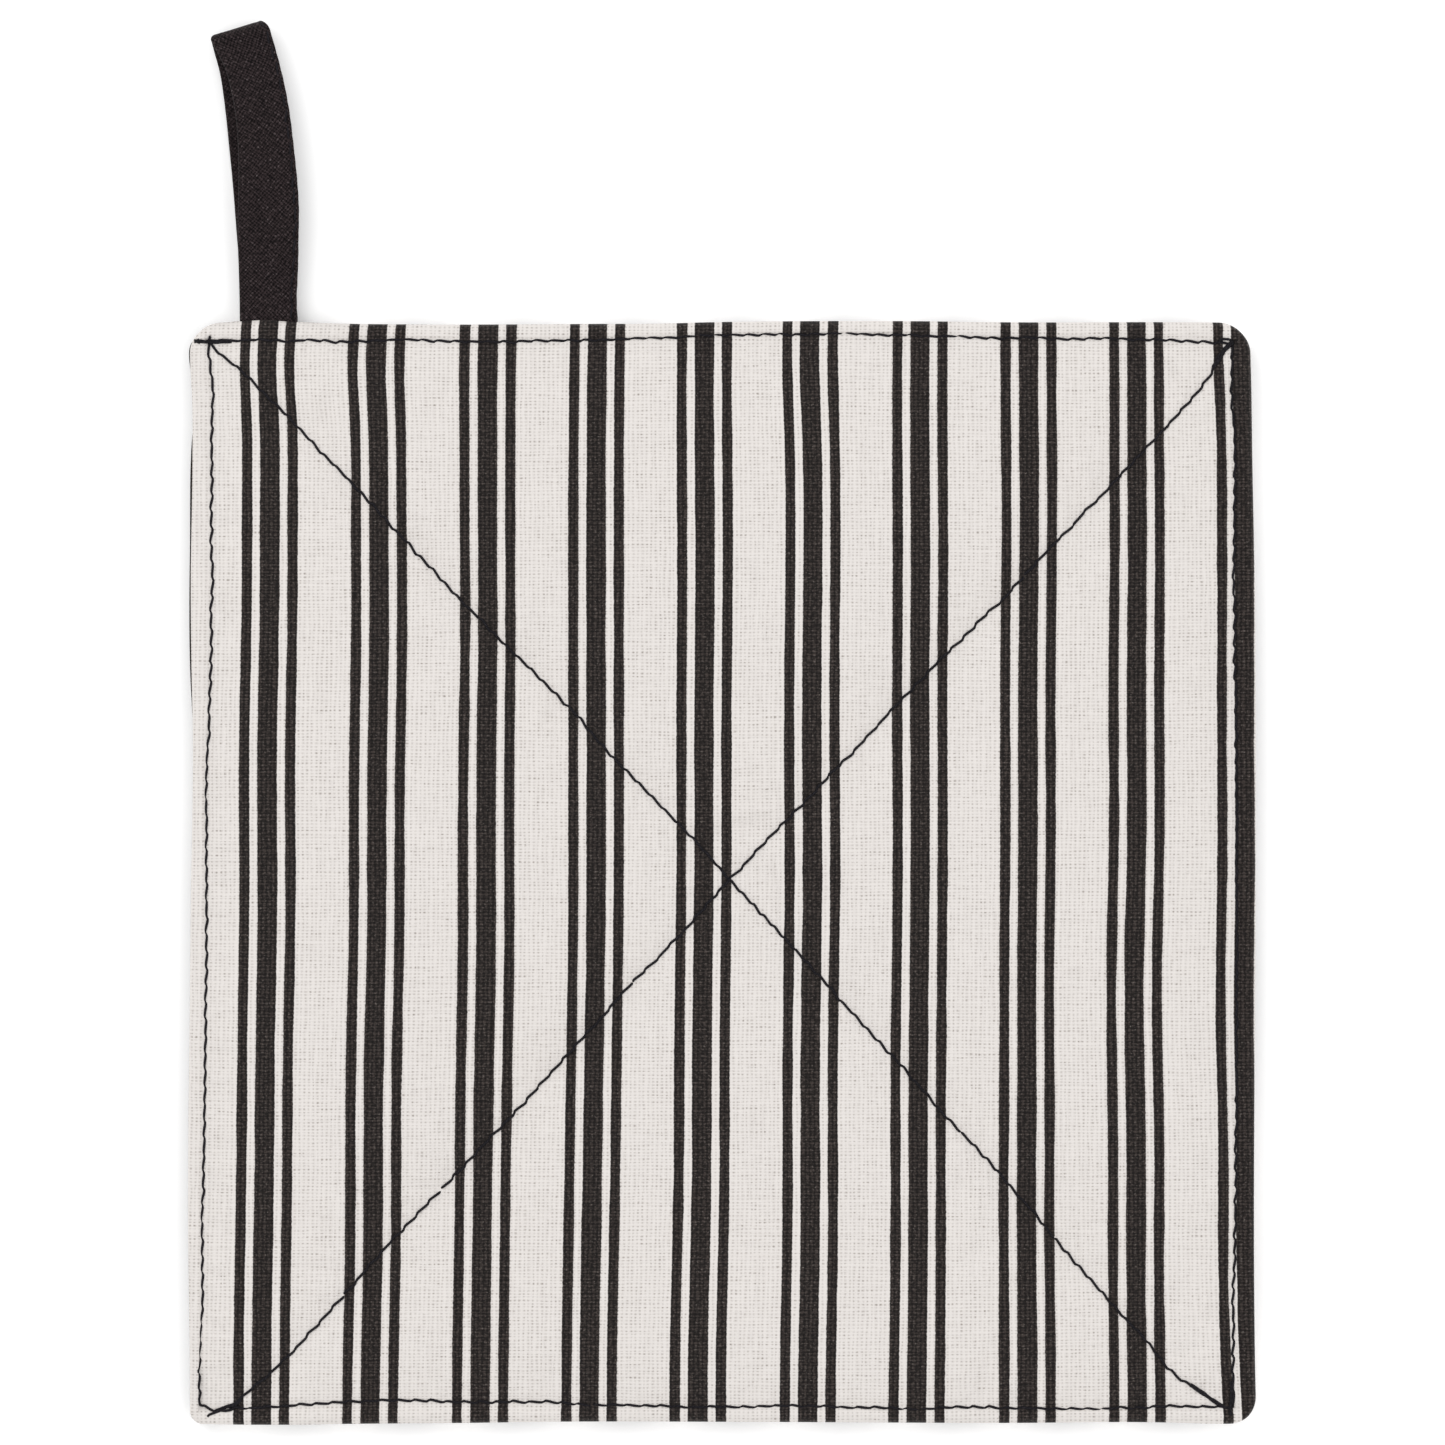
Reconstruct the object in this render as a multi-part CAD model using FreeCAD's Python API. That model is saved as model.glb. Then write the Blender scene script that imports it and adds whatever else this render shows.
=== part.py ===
"""Square quilted potholder with a hanging loop.

Two canvas panels are sewn round the edge and turned right side out over two layers of wadding.
They are topstitched round the edge and quilted with one line along each diagonal. A folded cotton
strip is caught in the top seam as the hanging loop. The pad folds about one quilted diagonal, and
the loop swings about the seam that holds it.

Frame, in mm: the pad lies flat with its back on z = 0 and its front up. +Y runs from the pad to the
loop, and the origin is under the middle of the whole object.
"""
import FreeCAD
import Part
import math
import os

Vector = FreeCAD.Vector

# The finished pad and its loop
PAD_WIDTH = 200.0
PAD_LENGTH = 207.0
LOOP_LENGTH = 56.4
CORNER_RADIUS = 5.5
CLOTH = 0.7

# Heights, each measured from the middle plane, so the front and the back mirror each other
PILLOW_HEIGHT = 3.8
SEWN_HEIGHT = 1.9
EDGE_FILLET = 1.7

# Insets from the finished edge
SEAM_INSET = 1.2
WADDING_INSET = 2.0
TOPSTITCH_INSET = 3.5
ALLOWANCE = 8.0

# A pillow rises from its stitch lines in steps: how far in from them, and the share of its rise
PILLOW_STEPS = [(0.9, 0.0), (4.0, 0.5), (9.0, 0.85), (16.0, 1.0)]
PILLOW_OVERLAP = 0.9

# Stitching
STITCH_LENGTH = 3.1
THREAD = 0.5
THREAD_RISE = 0.45
SEAM_THREAD_RISE = 0.3
CORNER_CLEARANCE = 1.6
CROSSING_CLEARANCE = 1.2

# The fold between the two halves of the pad, and the thread that lies beside it
FOLD_GAP = 0.3
FOLD_THREAD_GAP = 0.05

# The hanging loop: a strip in two legs, with an open eye between them
STRIP = 0.9
LOOP_WIDTH = 11.3
LOOP_LEFT_INSET = 9.2
LOOP_HINGE_OUT = 3.0
LOOP_LEAN = 5.7
LOOP_BEND_AT = 15.0
EYE_HALF_HEIGHT = 2.45
LEGS_PART_AT = 3.0
EYE_START_AT = 3.6
EYE_TAPER = 3.0
EYE_OPEN_AT = 14.0
TAIL_LENGTH = 7.5
TAIL_NOSE_GAP = 0.4
LOOP_THREAD = 0.25
LOOP_THREAD_WIDTH = 0.5
LOOP_THREAD_INSET = 0.8

# Places worked out from the sizes above
MIDDLE_Z = PILLOW_HEIGHT
PAD_BOTTOM_Y = -(PAD_LENGTH + LOOP_LENGTH) / 2
PAD_TOP_Y = PAD_BOTTOM_Y + PAD_LENGTH
PAD_CENTRE_Y = (PAD_BOTTOM_Y + PAD_TOP_Y) / 2
LOOP_TIP_Y = PAD_TOP_Y + LOOP_LENGTH
LOOP_LEFT_X = -PAD_WIDTH / 2 + LOOP_LEFT_INSET
LOOP_RIGHT_X = LOOP_LEFT_X + LOOP_WIDTH
HINGE_Y = PAD_TOP_Y + LOOP_HINGE_OUT
CENTRE = Vector(0, PAD_CENTRE_Y, 0)

# Cutting tools reach past the whole object, or just past the face that they cut through
REACH = 400.0
MARGIN = 1.0


def corners(inset):
    """The four corners of the pad's rectangle, taken in by inset: bottom left, then clockwise."""
    half_x = PAD_WIDTH / 2 - inset
    low_y = PAD_BOTTOM_Y + inset
    high_y = PAD_TOP_Y - inset
    return [
        Vector(-half_x, low_y, 0),
        Vector(-half_x, high_y, 0),
        Vector(half_x, high_y, 0),
        Vector(half_x, low_y, 0),
    ]


BOTTOM_LEFT, TOP_LEFT, TOP_RIGHT, BOTTOM_RIGHT = corners(TOPSTITCH_INSET)
FOLD_ALONG = (TOP_RIGHT - BOTTOM_LEFT).normalize()
FOLD_ACROSS = Vector(FOLD_ALONG.y, -FOLD_ALONG.x, 0)


def polygon_face(points):
    """A flat face from its corner points, in order."""
    return Part.Face(Part.makePolygon(list(points) + [points[0]]))


def prism(face, low, high):
    """A face in the plane z = 0, raised between two heights."""
    moved = face.copy()
    moved.translate(Vector(0, 0, low))
    return moved.extrude(Vector(0, 0, high - low))


def outline_slab(inset, low, high):
    """The pad's outline with its rounded corners, taken in by inset, between two heights."""
    slab = prism(polygon_face(corners(inset)), low, high)
    radius = CORNER_RADIUS - inset
    if radius <= 0:
        return slab
    upright = [edge for edge in slab.Edges if abs(edge.tangentAt(edge.FirstParameter).z) > 0.9]
    return slab.makeFillet(radius, upright)


def round_over(slab, height, radius):
    """Rounds the slab's edges that lie at one height."""
    rim = []
    for edge in slab.Edges:
        if all(abs(vertex.Z - height) < 1e-6 for vertex in edge.Vertexes):
            rim.append(edge)
    return slab.makeFillet(radius, rim)


def shrink(triangle, inset):
    """A triangle whose sides have all moved in by inset."""
    sides = [(triangle[(i + 2) % 3] - triangle[(i + 1) % 3]).Length for i in range(3)]
    around = sum(sides)
    centre = sum((point * side for point, side in zip(triangle, sides)), Vector()) / around
    area = (triangle[1] - triangle[0]).cross(triangle[2] - triangle[0]).Length / 2
    inradius = 2 * area / around
    scale = (inradius - inset) / inradius
    return [centre + (point - centre) * scale for point in triangle]


def stacked_rings(rings):
    """A closed solid from triangles stacked upwards, with flat faces between them."""
    faces = [polygon_face(rings[0]), polygon_face(rings[-1])]
    for lower, upper in zip(rings, rings[1:]):
        for i in range(3):
            j = (i + 1) % 3
            faces.append(polygon_face([lower[i], lower[j], upper[j], upper[i]]))
    solid = Part.Solid(Part.Shell(faces))
    solid.fix(1e-5, 1e-5, 1e-5)
    return solid


def pillow(field, offset):
    """One quilted field, from inside the sewn slab up to its top; offset shrinks it inwards."""
    rise = PILLOW_HEIGHT - SEWN_HEIGHT
    rings = []
    for inset, share in PILLOW_STEPS:
        height = MIDDLE_Z + SEWN_HEIGHT + rise * share - offset
        rings.append([point + Vector(0, 0, height) for point in shrink(field, inset + offset)])
    foot = [point - Vector(0, 0, PILLOW_OVERLAP) for point in rings[0]]
    return stacked_rings([foot] + rings)


def fields():
    """The four triangles between the topstitching and the two quilted diagonals."""
    ring = [BOTTOM_LEFT, TOP_LEFT, TOP_RIGHT, BOTTOM_RIGHT]
    return [[ring[i], CENTRE, ring[(i + 1) % 4]] for i in range(4)]


def front_form(offset):
    """The solid form of the pad's front half: the cloth's outside, or its inside if offset is CLOTH."""
    top = MIDDLE_Z + SEWN_HEIGHT - offset
    slab = round_over(outline_slab(offset, MIDDLE_Z, top), top, EDGE_FILLET - offset)
    return slab.multiFuse([pillow(field, offset) for field in fields()]).removeSplitter()


def allowance_ring():
    """The front panel's seam allowance, folded in flat at the middle plane."""
    outer = outline_slab(CLOTH, MIDDLE_Z, MIDDLE_Z + CLOTH)
    opening = outline_slab(CLOTH + ALLOWANCE, MIDDLE_Z - MARGIN, MIDDLE_Z + CLOTH + MARGIN)
    return outer.cut(opening)


def front_panel():
    """The front canvas: a shell with its edge turned under."""
    shell = front_form(0).cut(front_form(CLOTH))
    return shell.fuse(allowance_ring()).removeSplitter()


def front_wadding():
    """The wadding layer that fills the front panel, above its folded allowance."""
    trim = outline_slab(WADDING_INSET, MIDDLE_Z, MIDDLE_Z + PILLOW_HEIGHT + MARGIN)
    return front_form(CLOTH).common(trim).cut(allowance_ring())


def to_back(shape):
    """The same piece mirrored in the middle plane."""
    return shape.mirror(Vector(0, 0, MIDDLE_Z), Vector(0, 0, 1))


def half_space(side):
    """Everything on one side of the fold: side is -1 for the loop's half and 1 for the far half."""
    near = CENTRE + FOLD_ACROSS * (side * FOLD_GAP / 2)
    far = near + FOLD_ACROSS * (side * REACH)
    along = FOLD_ALONG * REACH
    return prism(polygon_face([near - along, near + along, far + along, far - along]), -REACH, REACH)


def comb(start, end, height, rise, out):
    """One thread along a straight line: a bar on the cloth, with a leg down each needle hole.

    height is where the bar lies above the middle plane, and out is 1 for the front, -1 for the back.
    """
    length = (end - start).Length
    along = (end - start).normalize()
    across = Vector(along.y, -along.x, 0)
    count = max(1, round(length / STITCH_LENGTH))
    pitch = length / count
    profile = [(-THREAD / 2, height + rise), (length + THREAD / 2, height + rise)]
    for i in range(count, -1, -1):
        profile.append((i * pitch + THREAD / 2, 0))
        profile.append((i * pitch - THREAD / 2, 0))
        if i > 0:
            profile.append((i * pitch - THREAD / 2, height))
            profile.append(((i - 1) * pitch + THREAD / 2, height))
    side = start - across * (THREAD / 2)
    points = [side + along * s + Vector(0, 0, MIDDLE_Z + out * z) for s, z in profile]
    return polygon_face(points).extrude(across * THREAD)


def stitch_line(points, height, rise, out):
    """A thread that follows a line of straight runs."""
    runs = [comb(a, b, height, rise, out) for a, b in zip(points, points[1:])]
    line = runs[0]
    for run in runs[1:]:
        line = line.fuse(run)
    return line.removeSplitter()


def seam_route():
    """The hidden seam: straight runs that cut each rounded corner."""
    route = []
    ring = corners(SEAM_INSET)
    cut = CORNER_RADIUS - SEAM_INSET
    for i, corner in enumerate(ring):
        before = (ring[i - 1] - corner).normalize()
        after = (ring[(i + 1) % 4] - corner).normalize()
        route += [corner + before * cut, corner + after * cut]
    return route


def closed(points):
    """The same route, brought back to its start."""
    return list(points) + [points[0]]


def loop_contour(half_height, nose_radius, part_at, tip_gap):
    """The loop's outline from the side, in the YZ plane: two legs that part, then a round tip."""
    def at(s, z):
        return Vector(0, HINGE_Y + s, MIDDLE_Z + z)

    turn = LOOP_TIP_Y - HINGE_Y - tip_gap - half_height
    edges = [
        Part.LineSegment(at(part_at, nose_radius), at(EYE_OPEN_AT, half_height)),
        Part.LineSegment(at(EYE_OPEN_AT, half_height), at(turn, half_height)),
        Part.Arc(at(turn, half_height), at(turn + half_height, 0), at(turn, -half_height)),
        Part.LineSegment(at(turn, -half_height), at(EYE_OPEN_AT, -half_height)),
        Part.LineSegment(at(EYE_OPEN_AT, -half_height), at(part_at, -nose_radius)),
    ]
    if nose_radius > 0:
        edges += [
            Part.LineSegment(at(part_at, -nose_radius), at(0, -nose_radius)),
            Part.Arc(at(0, -nose_radius), at(-nose_radius, 0), at(0, nose_radius)),
            Part.LineSegment(at(0, nose_radius), at(part_at, nose_radius)),
        ]
    return Part.Face(Part.Wire([edge.toShape() for edge in edges]))


def across_loop(face):
    """A side-view face of the loop, stretched across more than the loop's width."""
    moved = face.copy()
    moved.translate(Vector(LOOP_LEFT_X - PAD_WIDTH / 4, 0, 0))
    return moved.extrude(Vector(PAD_WIDTH / 2, 0, 0))


def loop_plan(left, right):
    """The loop from above between two lines along it: straight at the seam, then leaning left."""
    base_y = HINGE_Y - STRIP - MARGIN
    bend_y = HINGE_Y + LOOP_BEND_AT
    tip_y = LOOP_TIP_Y + MARGIN
    points = [
        Vector(left, base_y, 0),
        Vector(left, bend_y, 0),
        Vector(left - LOOP_LEAN, tip_y, 0),
        Vector(right - LOOP_LEAN, tip_y, 0),
        Vector(right, bend_y, 0),
        Vector(right, base_y, 0),
    ]
    return prism(polygon_face(points), -REACH, REACH)


def outer_contour(grow):
    """The outside of the loop's strip; grow moves it outwards."""
    return loop_contour(EYE_HALF_HEIGHT + STRIP + grow, STRIP + grow, LEGS_PART_AT, LOOP_THREAD - grow)


def eye_contour(grow):
    """The inside of the loop's eye; grow makes it smaller, and most at its pointed start."""
    start = EYE_START_AT + EYE_TAPER * grow
    return loop_contour(EYE_HALF_HEIGHT - grow, 0, start, LOOP_THREAD + STRIP + grow)


def hanging_loop():
    """The strip, closed on itself round its eye."""
    band = across_loop(outer_contour(0)).cut(across_loop(eye_contour(0)))
    return band.common(loop_plan(LOOP_LEFT_X, LOOP_RIGHT_X))


def loop_stitch_plan():
    """The narrow line near the strip's right edge where its stitching runs, clear of the hinge."""
    right = LOOP_RIGHT_X - LOOP_THREAD_INSET
    clear = Part.makeBox(REACH, REACH, REACH, Vector(-REACH / 2, HINGE_Y + LEGS_PART_AT, -REACH / 2))
    return loop_plan(right - LOOP_THREAD_WIDTH, right).common(clear)


def loop_outer_thread():
    """The strip's stitching on the outside of the loop."""
    skin = across_loop(outer_contour(LOOP_THREAD)).cut(across_loop(outer_contour(0)))
    return skin.common(loop_stitch_plan())


def loop_inner_thread():
    """The strip's stitching on the inside of the loop."""
    skin = across_loop(eye_contour(0)).cut(across_loop(eye_contour(LOOP_THREAD)))
    return skin.common(loop_stitch_plan())


def loop_tails():
    """The two ends of the strip, caught one on the other between the seam allowances."""
    nose_y = HINGE_Y - STRIP * math.sqrt(2) - TAIL_NOSE_GAP
    points = [
        Vector(LOOP_LEFT_X, PAD_TOP_Y - TAIL_LENGTH, MIDDLE_Z - STRIP),
        Vector(LOOP_LEFT_X, nose_y - STRIP, MIDDLE_Z - STRIP),
        Vector(LOOP_LEFT_X, nose_y, MIDDLE_Z),
        Vector(LOOP_LEFT_X, nose_y - STRIP, MIDDLE_Z + STRIP),
        Vector(LOOP_LEFT_X, PAD_TOP_Y - TAIL_LENGTH, MIDDLE_Z + STRIP),
    ]
    return polygon_face(points).extrude(Vector(LOOP_WIDTH, 0, 0))


def threads():
    """Every sewn line, whole, as name: shape. Each has a thread on the front and one on the back."""
    to_corner = (TOP_LEFT - CENTRE).normalize()
    cross_loop = [TOP_LEFT - to_corner * CORNER_CLEARANCE, CENTRE + to_corner * CROSSING_CLEARANCE]
    cross_far = [CENTRE - to_corner * CROSSING_CLEARANCE, BOTTOM_RIGHT + to_corner * CORNER_CLEARANCE]
    edge = closed(corners(TOPSTITCH_INSET))
    lines = {}
    for name, out in (("needle", 1), ("bobbin", -1)):
        crossing = [stitch_line(run, SEWN_HEIGHT, THREAD_RISE, out) for run in (cross_loop, cross_far)]
        lines["seam_" + name + "_thread"] = stitch_line(closed(seam_route()), CLOTH, SEAM_THREAD_RISE, out)
        lines["topstitch_" + name + "_thread"] = stitch_line(edge, SEWN_HEIGHT, THREAD_RISE, out)
        lines["cross_quilting_" + name + "_thread"] = Part.Compound(crossing)
    return lines


def fold_threads():
    """The quilting along the fold. It lies just on the loop's side of the fold line."""
    beside = FOLD_ACROSS * (-(FOLD_GAP + THREAD) / 2 - FOLD_THREAD_GAP)
    start = TOP_RIGHT - FOLD_ALONG * CORNER_CLEARANCE + beside
    end = BOTTOM_LEFT + FOLD_ALONG * CORNER_CLEARANCE + beside
    return {
        "fold_quilting_needle_thread": stitch_line([start, end], SEWN_HEIGHT, THREAD_RISE, 1),
        "fold_quilting_bobbin_thread": stitch_line([start, end], SEWN_HEIGHT, THREAD_RISE, -1),
    }


def build():
    """Every node of the potholder, as name: shape."""
    tails = loop_tails()
    panel = front_panel()
    wadding = front_wadding()
    whole = {
        "front_panel": panel.cut(tails),
        "back_panel": to_back(panel).cut(tails),
        "front_wadding": wadding.cut(tails),
        "back_wadding": to_back(wadding).cut(tails),
    }
    whole.update(threads())
    nodes = {}
    for half, side in (("loop_half", -1), ("far_half", 1)):
        space = half_space(side)
        for name, shape in whole.items():
            nodes[name + "_" + half] = shape.common(space)
    nodes.update(fold_threads())
    nodes["loop_tails"] = tails
    nodes["hanging_loop"] = hanging_loop()
    nodes["loop_outer_thread"] = loop_outer_thread()
    nodes["loop_inner_thread"] = loop_inner_thread()
    return nodes


os.makedirs("parts", exist_ok=True)
for node, shape in build().items():
    shape.exportStep("parts/" + node + ".step")
    print(f"{node:42s} solids {len(shape.Solids)} valid {shape.isValid()} volume {shape.Volume:9.1f}")
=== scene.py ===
"""Square quilted potholder with a hanging loop: its looks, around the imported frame.

The two canvas panels are puffed by cloth simulation between their stitch lines. Everything is laid
out in millimetres and turned into metres when a mesh is made.
"""
import math
import bpy
import numpy as np
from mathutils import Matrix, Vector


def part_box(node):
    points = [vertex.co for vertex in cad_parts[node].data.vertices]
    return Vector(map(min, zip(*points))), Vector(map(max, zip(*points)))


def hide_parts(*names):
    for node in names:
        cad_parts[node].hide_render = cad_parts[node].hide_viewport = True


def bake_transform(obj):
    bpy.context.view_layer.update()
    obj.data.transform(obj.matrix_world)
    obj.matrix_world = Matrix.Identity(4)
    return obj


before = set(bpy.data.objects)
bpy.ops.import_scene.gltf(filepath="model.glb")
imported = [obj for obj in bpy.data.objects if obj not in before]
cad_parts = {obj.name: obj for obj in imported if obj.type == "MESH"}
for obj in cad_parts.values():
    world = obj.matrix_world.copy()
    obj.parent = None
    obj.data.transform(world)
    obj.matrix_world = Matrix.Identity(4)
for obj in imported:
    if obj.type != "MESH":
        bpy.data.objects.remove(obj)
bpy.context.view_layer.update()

MM = 0.001

# -------- places, read from the frame
PANEL_BOXES = [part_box("front_panel_loop_half"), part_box("front_panel_far_half")]
LEFT = min(low[0] for low, high in PANEL_BOXES) / MM
RIGHT = max(high[0] for low, high in PANEL_BOXES) / MM
BOTTOM = min(low[1] for low, high in PANEL_BOXES) / MM
TOP = max(high[1] for low, high in PANEL_BOXES) / MM
WIDTH = RIGHT - LEFT
HEIGHT = TOP - BOTTOM
MIDDLE_Z = PANEL_BOXES[0][0][2] / MM
PILLOW = PANEL_BOXES[0][1][2] / MM - MIDDLE_Z
LOOP_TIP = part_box("hanging_loop")[1][1] / MM

# -------- the pad's cut and sewing, in mm
CLOTH = 0.7
ALLOWANCE = 8.0
EDGE_ROUND = 1.7
EDGE_HEIGHT = 2.05
SEWN_HEIGHT = 1.5
SEAM_GAP = 0.04
EDGE_TURN_IN = 1.1
SKIN_ROOM = 0.15
WADDING_ROOM = 0.06
SHELF_ROOM = 0.05
BACK_SHIFT = 14.0

# The pad is a grid: a narrow band outside the topstitching, and an even grid inside it
BAND = 8
INSIDE = 252
LAST = INSIDE + 2 * BAND
CURVE_SHARE = 0.625
RING_STITCH = 4
CROSS_STITCH = 3
SIM_STEP = 2
COARSE = 4

# How far the topstitching lies in from each edge: places along the edge, and the inset there
LEFT_INSET = [
    (-132, 1.7), (-117, 1.95), (-106, 2.6), (-92, 2.75), (-72, 3.15), (-50, 3.1), (-36, 3.1),
    (-20, 2.75), (-12, 2.6), (0, 3.2), (12, 3.8), (25, 4.1), (36, 3.9), (50, 3.6), (62, 3.9),
    (69, 3.4), (75, 3.1),
]
RIGHT_INSET = [
    (-132, 4.45), (-120, 4.3), (-105, 3.9), (-90, 3.65), (4, 3.8), (28, 3.9), (42, 3.5), (55, 3.45),
    (59, 3.65), (66, 3.5), (75, 3.45),
]
TOP_INSET = [
    (-100, 3.4), (-91, 3.6), (-84, 3.9), (-77, 3.6), (-63, 3.15), (-57, 3.0), (-48, 3.25),
    (-30, 3.15), (-12, 2.8), (3, 2.55), (28, 2.55), (45, 2.95), (77, 3.3), (92, 3.85), (100, 3.8),
]
BOTTOM_INSET = [
    (-100, 2.8), (-83, 3.4), (-70, 4.1), (-62, 4.5), (-50, 4.2), (-30, 3.75), (-12, 3.05),
    (3, 2.95), (12, 3.25), (30, 2.8), (50, 3.05), (63, 2.75), (74, 2.8), (90, 3.3), (100, 3.3),
]

# How far each edge strays outwards from the straight line that it was cut to
LEFT_STRAY = [
    (-132, 0.0), (-115, 0.1), (-90, 0.4), (-75, 0.34), (-52, 0.07), (-32, -0.15), (-10, -0.5),
    (-2, -0.5), (10, -0.25), (24, -0.12), (48, -0.45), (58, -0.4), (66, 0.0), (75, -0.2),
]
RIGHT_STRAY = [
    (-132, 0.4), (-121, 0.1), (-100, -0.15), (-70, -0.1), (-45, 0.07), (10, 0.1), (24, 0.0),
    (45, -0.43), (60, -0.65), (75, -0.9),
]
TOP_STRAY = [
    (-100, -0.3), (-92, -0.2), (-84, 0.4), (-77, -0.05), (-70, -0.35), (-57, -0.52), (-23, -0.43),
    (-10, -0.35), (-2, -0.12), (17, 0.1), (37, 0.08), (50, -0.1), (90, -0.15), (100, -0.3),
]
BOTTOM_STRAY = [
    (-100, -0.1), (-92, 0.1), (-77, 0.2), (-65, 0.02), (-45, -0.15), (-30, -0.36), (5, -0.34),
    (30, -0.22), (50, -0.13), (83, -0.2), (90, 0.0), (100, 0.0),
]

# Corner radii: bottom left, top left, top right, bottom right
CORNER_RADII = [2.2, 5.5, 6.0, 5.2]

# How far each quilted diagonal strays from straight, as (share of its length, sideways in mm)
CROSS_STRAY = [
    (0, 0), (0.015, 0.1), (0.04, 0.2), (0.09, 0.45), (0.12, 0.4), (0.21, -0.1), (0.24, -0.1),
    (0.31, 0.37), (0.34, 0.55), (0.41, 0.3), (0.44, 0.5), (0.51, -0.2), (0.54, -0.4), (0.64, -0.75),
    (0.67, -0.85), (0.74, -1.36), (0.77, -1.4), (0.84, -2.15), (0.865, -2.6), (0.89, -2.95),
    (0.925, -3.1), (0.96, -3.6), (0.975, -2.6), (1, -0.4),
]
FOLD_STRAY = [
    (0, 0), (0.035, -4.6), (0.06, -5.15), (0.1, -4.95), (0.2, -4.4), (0.26, -3.9), (0.31, -3.65),
    (0.34, -3.3), (0.41, -2.4), (0.44, -2.45), (0.505, -2.2), (0.54, -2.25), (0.61, -2.45),
    (0.64, -2.1), (0.71, -2.1), (0.74, -2.25), (0.84, -2.2), (0.94, -2.0), (0.965, -1.75), (1, 0),
]
STRAY_REACH = 14.0
STRAY_MARGIN = 4.0

# Where the back panel's edge rolls round to the front, at the left: places along the edge, and how far
BACK_ROLL = [
    (-132, -0.1), (-40, -0.1), (0, 0), (6, 0.2), (30, 0.22), (50, 0.2), (54, -0.1), (63, -0.1),
    (65, 0.12), (69, 0.12), (71, -0.15), (75, -0.15),
]

# The puff between the stitches, and the cloth that each stitch pulls in
SIM_SCALE = 10.0
SIM_FRAMES = 24
SIM_RIPPLE = 0.25
SIM_CLOTH = {
    "quality": 4,
    "mass": 0.3,
    "tension_stiffness": 40,
    "compression_stiffness": 40,
    "shear_stiffness": 12,
    "bending_stiffness": 2.0,
    "air_damping": 3.0,
    "shrink_min": -0.006,
    "use_pressure": True,
    "uniform_pressure_force": 6.0,
}
HOLE_DEPTH = 0.28
HOLE_REACH = 0.85
PUCKER = 0.09
PUCKER_REACH = 3.2
PUCKER_START = 0.8
CUT_CORNER_REACH = 3.0

# Stripes: the cloth's threads lean a little, so its own coordinates are not quite the pad's
STRIPE_PERIOD = 20.376
FIRST_STRIPE = -85.36
WIDE_STRIPE = 3.68
THIN_STRIPE = 1.94
THIN_OFFSET = 4.27
STRIPE_SOFT = 0.09
STRIPE_RAGGED = 0.22
STRIPE_SWELL = 0.35
LEAN = (1.13, -0.0116, -5.8e-5)
LEAN_MIDDLE = (-4, -7)
LEAN_LENGTH = 171
RIGHT_PULL_START = 78
RIGHT_PULL_WIDTH = 14
RIGHT_PULL = [
    (-132, 0.7), (-118, 0.4), (-100, 0.1), (-80, 0), (30, 0), (55, 0), (62, -0.2), (70, -0.42),
    (76, -0.5),
]

# Places where the sewing has pulled the cloth sideways: x, y, reach across, reach along, and how far
PULLS = [
    (-26, -38, 55, 75, 0.62), (74, -62, 24, 38, -0.5), (-78, 68, 24, 11, -1.05),
    (16, 70, 9, 14, -0.65), (78, 48, 16, 26, 0.2),
]
WARP_PITCH = 0.843
WEFT_PITCH = 0.632
LOOP_WARP_PITCH = 0.56
LOOP_WEFT_PITCH = 0.52
LOOP_BIAS = 42

THREAD = 0.5
THREAD_TWIST = 0.9


# -------- small tools
def curve(knots, x):
    """A smooth line through knots of (place, value), read at every place in x."""
    places, values = np.array(knots, float).T
    slopes = np.gradient(values, places)
    x = np.clip(x, places[0], places[-1])
    i = np.clip(np.searchsorted(places, x) - 1, 0, len(places) - 2)
    step = places[i + 1] - places[i]
    t = (x - places[i]) / step
    start = values[i] * (1 + 2 * t) * (1 - t) ** 2 + step * slopes[i] * t * (1 - t) ** 2
    end = values[i + 1] * t * t * (3 - 2 * t) + step * slopes[i + 1] * t * t * (t - 1)
    return start + end


def waves(x, y, length, seed, count=9):
    """Smooth irregular ripples of about one length, from -1 to 1 or so, the same on each run."""
    rng = np.random.default_rng(seed)
    total = np.zeros_like(np.asarray(x, float))
    for _ in range(count):
        angle = rng.uniform(0, 2 * math.pi)
        size = length * rng.uniform(0.7, 1.4)
        phase = rng.uniform(0, 2 * math.pi)
        total = total + np.sin((x * math.cos(angle) + y * math.sin(angle)) * 2 * math.pi / size + phase)
    return total / math.sqrt(count)


def mix(a, b, share):
    """A value from a to b."""
    return a + (b - a) * share


def unit(vectors):
    """The same directions, each with a length of 1."""
    return vectors / np.linalg.norm(vectors, axis=-1, keepdims=True)


def lengths_along(path):
    """How far along a path each of its points lies."""
    return np.concatenate([[0], np.cumsum(np.linalg.norm(np.diff(path, axis=0), axis=1))])


def read_at(places, known, rows):
    """Rows that belong to known places, read at other places between them."""
    return np.stack([np.interp(places, known, column) for column in np.transpose(rows)], axis=-1)


def stacked(*values):
    """Places or rows of numbers put together from their parts."""
    return np.stack(np.broadcast_arrays(*values), axis=-1)


def ring_faces(rows, size):
    """The faces of a closed tube whose points lie in rows round it, with its two ends."""
    faces = [tuple(range(size))[::-1], tuple(range((rows - 1) * size, rows * size))]
    for a in range(rows - 1):
        for b in range(size):
            c = (b + 1) % size
            faces.append((a * size + b, a * size + c, (a + 1) * size + c, (a + 1) * size + b))
    return faces


def add_object(name, data):
    """An object in the scene."""
    obj = bpy.data.objects.new(name, data)
    bpy.context.scene.collection.objects.link(obj)
    return obj


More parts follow.
